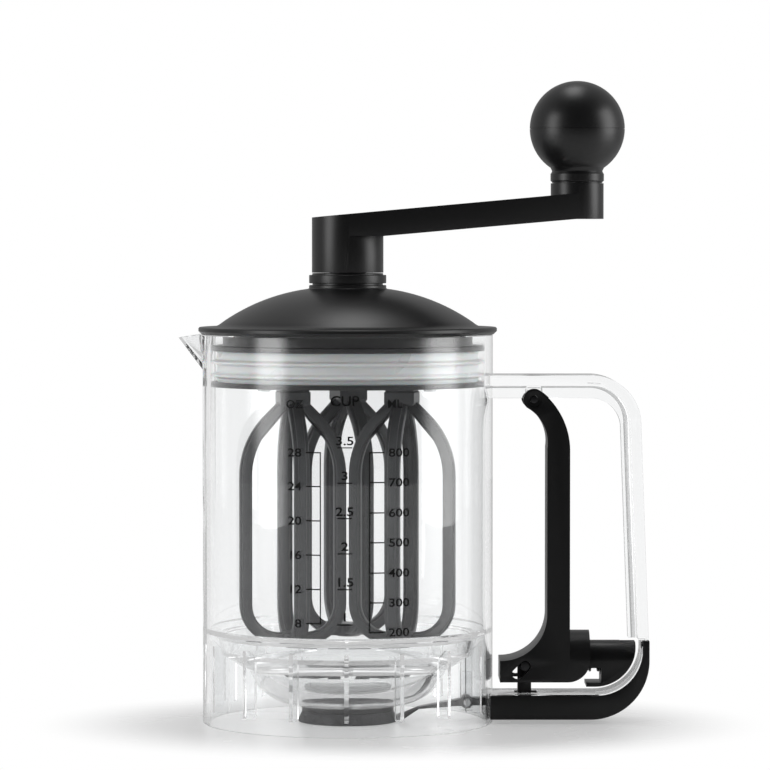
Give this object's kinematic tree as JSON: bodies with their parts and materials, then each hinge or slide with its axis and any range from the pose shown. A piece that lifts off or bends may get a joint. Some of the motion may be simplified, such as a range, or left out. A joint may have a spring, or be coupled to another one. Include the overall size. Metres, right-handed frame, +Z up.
{
  "type": "crank mayonnaise mixer jar",
  "caption": "Clear spouted jar with a squeeze-lever side handle, standing on a suction foot; a black lid with a top crank drives caged whisks through gears inside.",
  "frame": {"origin": "on the jar's axis, on the plane that the jar stands on", "axes": "+Z up along the jar's axis, +X towards the squeeze-lever handle, -X towards the pouring lip"},
  "size_m": [0.1818, 0.1152, 0.2473],
  "materials": {
    "clear_plastic": "clear moulded plastic, polished",
    "black_plastic": "fine satin moulded black",
    "grey_plastic": "satin moulded dark grey",
    "silicone": "milky translucent silicone",
    "rubber": "soft matte rubber",
    "steel": "drawn stainless steel"
  },
  "bodies": {
    "jar_set": {"jar": "clear_plastic", "handle": "clear_plastic", "base_cover": "black_plastic", "rocker_pin": "steel", "lever_pin": "steel", "spring_housing": "black_plastic", "lever_spring": "steel", "suction_mount": "black_plastic", "suction_cup": "rubber", "cup_screw": "steel"},
    "lid": {"lid_cover": "black_plastic", "shaft_bush": "black_plastic", "gear_cage": "black_plastic", "ring_gear": "grey_plastic", "retainer_ring": "black_plastic", "retainer_screws": "steel", "gasket": "silicone"},
    "crank": {"drive_shaft": "black_plastic", "crank_arm": "black_plastic", "crank_screw": "steel", "carrier": "black_plastic", "carrier_bridge": "black_plastic", "carrier_screw": "steel", "knob_pin": "steel"},
    "mixer_1": {"planet_gear_1": "grey_plastic", "whisk_1": "grey_plastic"},
    "mixer_2": {"planet_gear_2": "grey_plastic", "whisk_2": "grey_plastic"},
    "mixer_3": {"planet_gear_3": "grey_plastic", "whisk_3": "grey_plastic"},
    "knob": {"knob_base": "black_plastic", "knob_cap": "black_plastic"},
    "lever": {"lever": "black_plastic"},
    "rocker": {"rocker": "black_plastic", "link_pin": "steel", "release_tab": "rubber"}
  },
  "joints": [
    {"name": "lid_lift", "type": "slide", "parent": "jar_set", "child": "lid", "axis": [0, 0, 1], "range_m": [0, 0.135]},
    {"name": "crank_turn", "type": "hinge", "parent": "lid", "child": "crank", "pos_m": [0, 0, 0.15], "axis": [0, 0, 1], "continuous": true},
    {"name": "whisk_1_turn", "type": "hinge", "parent": "crank", "child": "mixer_1", "pos_m": [0, 0.024, 0.1], "axis": [0, 0, 1], "continuous": true},
    {"name": "whisk_2_turn", "type": "hinge", "parent": "crank", "child": "mixer_2", "pos_m": [-0.02078, -0.012, 0.1], "axis": [0, 0, 1], "continuous": true},
    {"name": "whisk_3_turn", "type": "hinge", "parent": "crank", "child": "mixer_3", "pos_m": [0.02078, -0.012, 0.1], "axis": [0, 0, 1], "continuous": true},
    {"name": "knob_turn", "type": "hinge", "parent": "crank", "child": "knob", "pos_m": [0.0885, 0, 0.229], "axis": [0, 0, 1], "continuous": true},
    {"name": "lever_squeeze", "type": "hinge", "parent": "jar_set", "child": "lever", "pos_m": [0.0716, 0, 0.1249], "axis": [0, -1, 0], "range_deg": [0, 2.4], "stiffness_Nm_per_rad": 12, "springref_deg": -2.86, "deforming": ["lever_spring"]},
    {"name": "rocker_tilt", "type": "hinge", "parent": "jar_set", "child": "rocker", "pos_m": [0.046, 0, 0.0078], "axis": [0, 1, 0], "range_deg": [0, 7]}
  ],
  "couplings": [
    {"joint": "whisk_1_turn", "follows": "crank_turn", "ratio": -3},
    {"joint": "whisk_2_turn", "follows": "crank_turn", "ratio": -3},
    {"joint": "whisk_3_turn", "follows": "crank_turn", "ratio": -3},
    {"joint": "rocker_tilt", "follows": "lever_squeeze", "ratio": 2.91}
  ]
}
